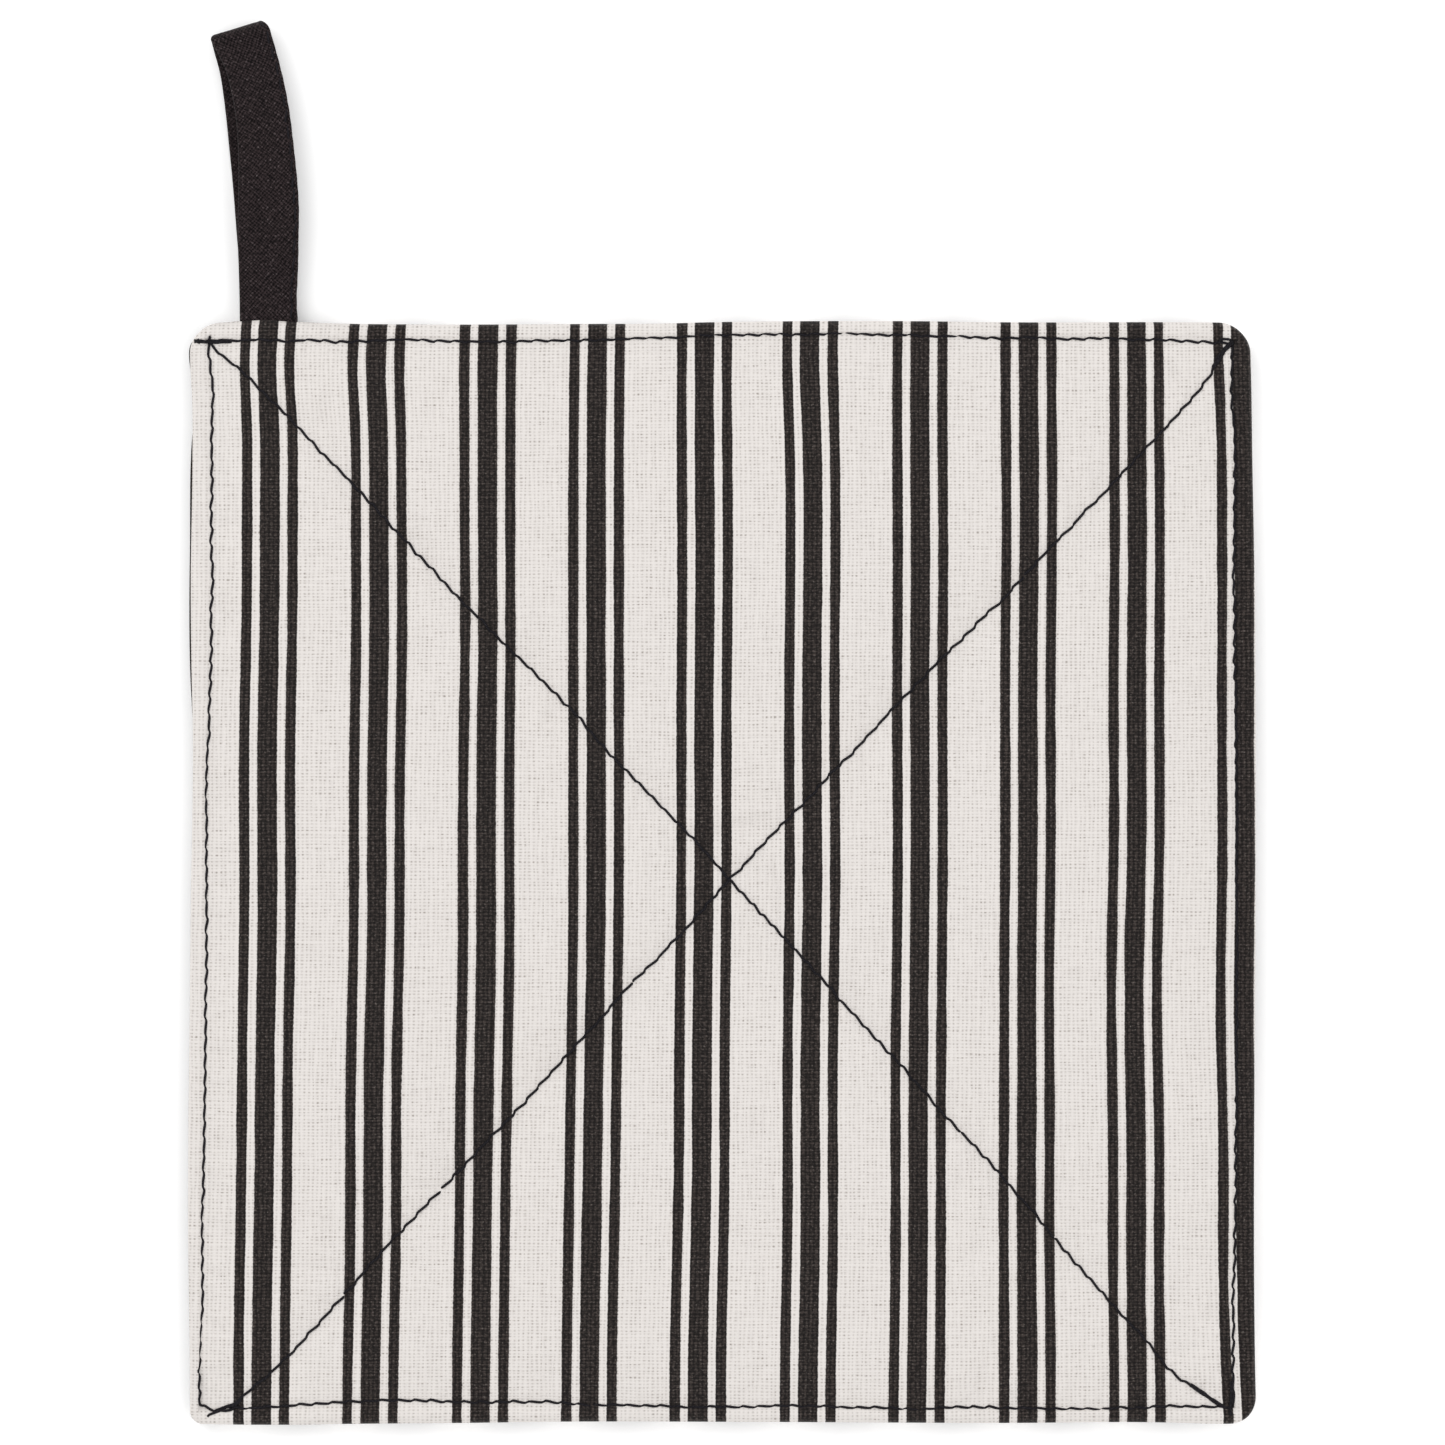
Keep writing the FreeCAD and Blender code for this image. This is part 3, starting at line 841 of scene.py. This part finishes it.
def loop_frame():
    """At each station: the strip's left edge, its direction across, its width and its outward normal."""
    share, height, leg = loop_stations().T
    peek = curve(LEG_PEEK, share)
    rounds = []
    for radius in LOOP_CORNERS:
        near = np.clip(1 - (1 - share) * (LOOP_TIP - TOP) / radius, 0, 1)
        rounds.append(radius * (1 - np.sqrt(1 - near ** 2)))
    left_x = LEFT + curve(LOOP_LEFT, share) + peek * (1 - leg) + rounds[0]
    right_x = LEFT + curve(LOOP_RIGHT, share) - peek * leg * 0.6 - rounds[1]
    left_y = mix(TOP, LOOP_TIP - LOOP_TIP_SLANT, share)
    right_y = mix(TOP, LOOP_TIP, share)
    ripple = 0.10 * np.sin(share * 17 + leg * 2) * np.clip(share * 6, 0, 1)
    left = stacked(left_x, left_y, MIDDLE_Z + height + ripple)
    right = stacked(right_x, right_y, MIDDLE_Z + height - ripple)
    across = right - left
    width = np.linalg.norm(across, axis=1)
    across /= width[:, None]
    along = np.gradient((left + right) / 2, axis=0)
    return left, across, width, unit(np.cross(across, along))


def strip_section():
    """The folded strip's section, as (share of its width, mm more across, mm off its middle)."""
    outer = LAYER + LAYER_GAP / 2
    inner = LAYER_GAP / 2
    flat = (0.04, 0.14, 0.26, 0.38, 0.5, 0.62, 0.72, 0.8, 0.86, 0.9, 0.925, 0.95, 0.97, 0.99)
    section = [(share, 0.0, outer) for share in flat[::-1]]
    for angle in np.linspace(90, 270, 9)[1:-1]:
        radians = math.radians(angle)
        section.append((0.0, outer * (1 + math.cos(radians)), outer * math.sin(radians)))
    section += [(share, 0.0, -outer) for share in flat]
    section += [(1.0, 0.0, -outer * 0.7), (1.0, 0.0, -inner)]
    section += [(share, 0.0, -inner) for share in (0.7, 0.3)]
    section += [(0.0, outer, 0.0)]
    section += [(share, 0.0, inner) for share in (0.3, 0.7)]
    section += [(1.0, 0.0, inner), (1.0, 0.0, outer * 0.7)]
    return section


def loop_strip():
    """The hanging loop: one strip of cloth, folded in two along its length and bent back on itself."""
    left, across, width, normal = loop_frame()
    middle = left + across * width[:, None] / 2
    lengths = lengths_along(middle)
    points = []
    coordinates = []
    for share, inset, height in strip_section():
        sewn = math.exp(-((share - LOOP_STITCH_SHARE) / 0.035) ** 2) * (abs(height) > LAYER)
        beat = np.cos(2 * math.pi * (lengths - LOOP_TUCK - 0.5) / LOOP_STITCH)
        pressed = np.sign(height) * sewn * (0.09 + 0.07 * beat)
        edge = 0.025 * beat * (share > 0.9)
        place = left + across * (width * share + inset - edge)[:, None]
        place = place + normal * (height - pressed)[:, None]
        points.append(place)
        around = np.sign(height) * (width * share + inset)
        # The third cloth coordinate weights the painted shade in the needle holes along the stitching,
        # which the loop material darkens.
        coordinates.append(stacked(around, lengths, sewn * (0.5 + 0.5 * beat)))
    faces = ring_faces(len(lengths), len(points))
    points = np.stack(points, axis=1).reshape(-1, 3)
    coordinates = np.stack(coordinates, axis=1).reshape(-1, 3)
    return face_outwards(new_mesh("hanging_loop_strip", points, faces, coordinates))


def loop_thread(outside):
    """The strip's edge stitching on its outside or its inside, from the seam round to the seam."""
    left, across, width, normal = loop_frame()
    sign = 1 if outside else -1
    height = LAYER + LAYER_GAP / 2 - 0.1
    line = left + across * (width * LOOP_STITCH_SHARE)[:, None] + normal * height * sign
    lengths = lengths_along(line)
    begin = LOOP_TUCK + 0.5
    count = int((lengths[-1] - 2 * begin) / LOOP_STITCH) * 4
    places = begin + np.arange(count + 1) * LOOP_STITCH / 4
    base = read_at(places, lengths, line)
    up = sign * read_at(places, lengths, normal)
    shape = [(0.0, -0.3), (0.12, -0.1), (0.3, 0.0), (0.7, 0.0), (0.88, -0.1)]
    name = "loop_outer_thread_sewn" if outside else "loop_inner_thread_sewn"
    return thread_piece(name, [stitches(base, up, 4, 81 + sign, shape)], 0.2)


# -------- materials
IVORY = (0.75, 0.713, 0.685, 1)
# The ivory in the painted shade of the holes and grooves between the yarns
IVORY_GAP_SHADE = (0.31, 0.275, 0.25, 1)
PRINT = (0.0095, 0.0078, 0.0075, 1)
PRINT_CROWN = (0.050, 0.0395, 0.0355, 1)
PRINT_FLECK = (0.16, 0.14, 0.128, 1)
LOOP_GAP = (0.0022, 0.0013, 0.0016, 1)
LOOP_CROWN = (0.031, 0.0215, 0.0225, 1)
LOOP_FLECK = (0.13, 0.11, 0.112, 1)
THREAD_DARK = (0.0045, 0.0035, 0.006, 1)
THREAD_LIGHT = (0.02, 0.017, 0.023, 1)
WADDING_LIGHT = (0.80, 0.77, 0.71, 1)
WADDING_SHADE = (0.66, 0.62, 0.56, 1)


def set_inputs(tree, node, inputs):
    """Sets a node's inputs from values, or links them from fields."""
    for key, value in dict(inputs).items():
        if isinstance(value, Field):
            tree.links.new(value.socket, node.inputs[key])
        else:
            node.inputs[key].default_value = value


def add_node(tree, kind, inputs=(), **settings):
    """A new node with its settings and inputs."""
    node = tree.nodes.new(kind)
    for key, value in settings.items():
        setattr(node, key, value)
    set_inputs(tree, node, inputs)
    return node


class Field:
    """What varies over a cloth: a socket of a material's nodes, with sums worked out by more nodes."""

    def __init__(self, tree, socket):
        self.tree = tree
        self.socket = socket

    def after(self, kind, inputs, output=0, **settings):
        """The output of a new node."""
        return Field(self.tree, add_node(self.tree, kind, inputs, **settings).outputs[output])

    def calc(self, operation, *values):
        """One Math node on this field and the values."""
        return self.after("ShaderNodeMath", enumerate([self, *values]), operation=operation)

    def __add__(self, other):
        return self.calc("ADD", other)

    def __sub__(self, other):
        return self.calc("SUBTRACT", other)

    def __mul__(self, other):
        return self.calc("MULTIPLY", other)

    def rest(self):
        """What is left of 1."""
        return self.after("ShaderNodeMath", {0: 1.0, 1: self}, operation="SUBTRACT")

    def ramp(self, low, high, start=0.0, end=1.0):
        """Eased from start to end as this field goes from low to high."""
        inputs = {"Value": self, "From Min": low, "From Max": high, "To Min": start, "To Max": end}
        return self.after("ShaderNodeMapRange", inputs, "Result", interpolation_type="SMOOTHSTEP")

    def noise(self, across, along, detail=1.0, through=0.0):
        """Cloudy noise from 0 to 1, with so many features to a mm each way."""
        inputs = {0: self, 1: (across, along, through)}
        place = self.after("ShaderNodeVectorMath", inputs, operation="MULTIPLY")
        inputs = {"Vector": place, "Scale": 1.0, "Detail": detail, "Roughness": 0.55}
        return self.after("ShaderNodeTexNoise", inputs, "Fac")

    def parts(self):
        """The three parts of a vector."""
        node = add_node(self.tree, "ShaderNodeSeparateXYZ", {0: self})
        return [Field(self.tree, socket) for socket in node.outputs]

    def blend(self, first, second):
        """A colour from first to second, by this share."""
        return self.after("ShaderNodeMix", {0: self, 6: first, 7: second}, 2, data_type="RGBA")


def new_material(name, sheen, specular):
    """A material with its shader, and the cloth coordinates that every pattern is laid out in."""
    material = bpy.data.materials.new(name)
    material.use_nodes = True
    tree = material.node_tree
    shader = tree.nodes["Principled BSDF"]
    uniform = {"Sheen Weight": sheen, "Sheen Roughness": 0.5, "Specular IOR Level": specular}
    set_inputs(tree, shader, uniform)
    attribute = add_node(tree, "ShaderNodeAttribute", attribute_name="cloth")
    return material, shader, Field(tree, attribute.outputs["Vector"])


def finish_material(shader, colour, roughness, height, strength=1.0):
    """Links the colour, the roughness, and a height in mm as bump."""
    inputs = {"Height": height, "Distance": MM, "Strength": strength}
    bump = height.after("ShaderNodeBump", inputs, "Normal")
    set_inputs(colour.tree, shader, {"Base Color": colour, "Roughness": roughness, "Normal": bump})


def plain_weave(x, y, warp_pitch, weft_pitch):
    """A plain weave's height, from 0 to about 1.5, and the share of hole between its yarns."""
    warp = (x * (math.pi / warp_pitch)).calc("SINE")
    weft = (y * (math.pi / weft_pitch)).calc("SINE")
    warp_size = warp.calc("ABSOLUTE")
    weft_size = weft.calc("ABSOLUTE")
    warp_height = warp_size.calc("POWER", 0.6) + warp.calc("SIGN") * weft * 0.4
    weft_height = weft_size.calc("POWER", 0.6) + weft.calc("SIGN") * warp * -0.4
    return warp_height.calc("MAXIMUM", weft_height), warp_size.rest() * weft_size.rest()


def stripe_mask(x, place):
    """1 on the printed stripes and 0 off them, with edges that follow the yarns."""
    ragged = (place.noise(1.6, 1.9) - 0.5) * STRIPE_RAGGED
    swell = (place.noise(0.05, 0.09) - 0.5) * STRIPE_SWELL
    phase = (ragged + x - (FIRST_STRIPE - STRIPE_PERIOD / 2)).calc("WRAP", STRIPE_PERIOD, 0.0)
    away = (phase - STRIPE_PERIOD / 2).calc("ABSOLUTE")
    from_thin = (away - THIN_OFFSET).calc("ABSOLUTE")
    wide, thin = [
        (distance - swell).ramp(width / 2 - STRIPE_SOFT, width / 2 + STRIPE_SOFT, 1, 0)
        for distance, width in ((away, WIDE_STRIPE), (from_thin, THIN_STRIPE))
    ]
    return wide.calc("MAXIMUM", thin)


def canvas():
    """Ivory cotton canvas in a plain weave with slubs, printed with charcoal stripes."""
    material, shader, place = new_material("striped_canvas", 0.06, 0.12)
    x, y, _ = place.parts()
    yarn_x = place.noise(0.9, 0.14, 2.0) * 0.8 + x
    yarn_y = place.noise(0.12, 1.1, 2.0) * 0.6 + y
    weave, hole = plain_weave(yarn_x, yarn_y, WARP_PITCH, WEFT_PITCH)
    slub = place.noise(1.2, 0.09) + place.noise(0.08, 1.6)
    grain = place.noise(2.2, 2.6, 3.0)
    spot = place.noise(1.1, 1.5)
    row = place.noise(0.22, 1.5)
    column = place.noise(1.1, 0.2)
    # Painted shade in the holes and grooves between the yarns, with a little darker tone on the slubs.
    opening = row.ramp(0.46, 0.72) * 0.5 + 0.24 + column.ramp(0.55, 0.78) * 0.2 + spot.ramp(0.44, 0.7) * 0.5
    groove = weave.ramp(0.55, 1.05).rest() * grain.ramp(0.35, 0.65, 0.02, 0.14)
    shade = hole.calc("POWER", 0.75) * opening + groove + slub.ramp(0.85, 1.3, 0.0, 0.06)
    ivory = shade.blend(IVORY, IVORY_GAP_SHADE)
    crown = weave.ramp(0.7, 1.25) * spot.ramp(0.35, 0.62, 0.2, 1.0) * grain.ramp(0.3, 0.55, 0.3, 1.0)
    fleck = grain.ramp(0.54, 0.8) * weave.ramp(0.8, 1.2, 0.2, 1.0)
    dark = fleck.blend(crown.blend(PRINT, PRINT_CROWN), PRINT_FLECK)
    printed = stripe_mask(x, place)
    roughness = printed * -0.07 + weave.ramp(0.5, 1.3, 0.97, 0.85)
    height = weave * 0.075 + slub * 0.05 + grain * 0.03
    finish_material(shader, printed.blend(ivory, dark), roughness, height, 0.8)
    return material


def loop_cloth():
    """Black plain-weave cotton cut on the bias, with grey flecks, and painted shade in the needle holes
    along its stitching.
    """
    material, shader, place = new_material("loop_cloth", 0.06, 0.12)
    turned = place.after("ShaderNodeVectorRotate", {"Vector": place, "Angle": math.radians(LOOP_BIAS)})
    # sewn is the weight of the painted shade in the needle holes along the stitching.
    x, y, sewn = turned.parts()
    yarn_x = turned.noise(1.3, 0.3, 2.0) * 0.9 + x
    yarn_y = turned.noise(0.3, 1.3, 2.0) * 0.9 + y
    weave, _ = plain_weave(yarn_x, yarn_y, LOOP_WARP_PITCH, LOOP_WEFT_PITCH)
    grain = place.noise(1.9, 1.9, 3.0)
    lit = place.noise(0.12, 0.08, 2.0) * 0.5 + grain.ramp(0.32, 0.62, 0.0, 0.9)
    # Painted shade at the needle holes: the crowns dim and the grey flecks vanish there.
    crown = weave.ramp(0.7, 1.25) * (lit * sewn.ramp(0.2, 0.8, 1.0, 0.1))
    fleck_and_hole_shade = grain.ramp(0.54, 0.8) * weave.ramp(0.9, 1.3) * sewn.ramp(0.2, 0.8, 1.0, 0.0)
    colour = fleck_and_hole_shade.blend(crown.blend(LOOP_GAP, LOOP_CROWN), LOOP_FLECK)
    finish_material(shader, colour, weave.ramp(0.5, 1.3, 0.96, 0.8), grain * 0.04 + weave * 0.06)
    return material


def thread_material():
    """Black sewing thread: plies twisted round each other, with a little sheen."""
    material, shader, place = new_material("thread", 0.03, 0.2)
    around, along, _ = place.parts()
    twist = along * (2 * math.pi / THREAD_TWIST) + around * 3
    ply = (twist * 0.5).calc("SINE").calc("ABSOLUTE")
    share = ply.ramp(0.5, 1.0) * place.noise(1.0, 3.0, 2.0).ramp(0.4, 0.75)
    roughness = ply.ramp(0.3, 1.0, 0.8, 0.58)
    finish_material(shader, share.blend(THREAD_DARK, THREAD_LIGHT), roughness, ply * 0.06)
    return material


def wadding_material():
    """Needled cotton wadding: off-white, cloudy and fibrous."""
    material, shader, place = new_material("wadding", 0.3, 0.1)
    cloud = place.noise(0.25, 0.25, 4.0, 0.25)
    fibre = place.noise(0.8, 3.0, 4.0, 1.0)
    colour = cloud.ramp(0.3, 0.75).blend(WADDING_LIGHT, WADDING_SHADE)
    finish_material(shader, colour, fibre.ramp(0.3, 0.7, 0.98, 0.88), fibre * 0.3 + cloud * 0.5)
    return material


# -------- floor, light and camera
FRAME_WIDTH = 271.4
CAMERA_HEIGHT = 1600.0
SENSOR = 36.0
KEY_LIGHT = ((-560, 700, 1250), 900, 5.0)
FILL_LIGHT = ((700, -300, 1200), 900, 2.0)


def stage():
    """A plain pale floor."""
    bpy.ops.mesh.primitive_plane_add(size=6.0, location=(0, 0, -0.0002))
    floor = bpy.context.active_object
    floor.name = "floor"
    material = bpy.data.materials.new("floor")
    material.use_nodes = True
    tree = material.node_tree
    set_inputs(tree, tree.nodes["Principled BSDF"], {
        "Base Color": (0.97, 0.97, 0.97, 1),
        "Roughness": 0.9,
        "Specular IOR Level": 0.0,
        "Emission Color": (1, 1, 1, 1),
        "Emission Strength": 0.16,
    })
    floor.data.materials.append(material)


def area_light(name, place, size, power):
    """A soft square light that looks at the pad."""
    data = bpy.data.lights.new(name, "AREA")
    data.size = size * MM
    data.energy = power
    light = add_object(name, data)
    light.location = [value * MM for value in place]
    light.rotation_euler = light.location.to_track_quat("Z", "Y").to_euler()


def lights():
    """Even white light from all round, with a soft key from the upper left for the relief."""
    world = bpy.data.worlds.new("studio")
    bpy.context.scene.world = world
    world.use_nodes = True
    background = world.node_tree.nodes["Background"]
    set_inputs(world.node_tree, background, {"Color": (1, 1, 1, 1), "Strength": 0.9})
    area_light("key", *KEY_LIGHT)
    area_light("fill", *FILL_LIGHT)


def camera():
    """Straight down on the middle of the whole object, from far off."""
    data = bpy.data.cameras.new("camera")
    data.sensor_width = SENSOR
    data.lens = SENSOR * CAMERA_HEIGHT / FRAME_WIDTH
    data.clip_end = 20
    looker = add_object("camera", data)
    looker.location = (0, 0, (CAMERA_HEIGHT + MIDDLE_Z) * MM)
    bpy.context.scene.camera = looker
    bpy.context.scene.view_settings.view_transform = "Standard"


def across_fold(obj):
    """Bakes a piece's transform into its mesh, without bending it across the pad's fold."""
    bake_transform(obj)


def across_seam(obj):
    """Bakes a loop piece's transform into its mesh, without bending it where it leaves the pad."""
    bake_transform(obj)


def place_piece(obj, material, slot, bend, *nodes):
    """Gives a piece its material, passes it to bend, and hides the CAD nodes that it stands for."""
    obj.data.materials.append(material)
    bend(obj)
    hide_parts(*nodes)


def halves(node):
    """The two nodes that stand for one piece, cut at the fold."""
    return node + "_loop_half", node + "_far_half"


stage()
lights()
camera()
cloth = canvas()
strip = loop_cloth()
thread = thread_material()
fill = wadding_material()

FACES = [("front", 1, "needle", 1, 0.0), ("back", -1, "bobbin", 2, BACK_SHIFT)]
for face, side, layer, seed, shift in FACES:
    skin = outer_skin(seed, side < 0)
    cover = panel(face + "_panel_canvas", skin, side, shift)
    place_piece(cover, cloth, "striped_canvas", across_fold, *halves(face + "_panel"))
    layer_piece = wadding(face + "_wadding_layer", skin, side)
    place_piece(layer_piece, fill, "wadding", across_fold, *halves(face + "_wadding"))
    seam = seam_thread(skin, side, layer)
    place_piece(seam, thread, "thread", across_fold, *halves("seam_%s_thread" % layer))
    for name, piece in pad_threads(skin, side, layer).items():
        nodes = [name] if name.startswith("fold") else halves(name)
        place_piece(piece, thread, "thread", across_fold, *nodes)

loop = loop_strip()
place_piece(loop, strip, "loop_cloth", across_seam, "hanging_loop", "loop_tails")
for outside in (True, False):
    piece = loop_thread(outside)
    node = "loop_outer_thread" if outside else "loop_inner_thread"
    place_piece(piece, thread, "thread", across_seam, node)
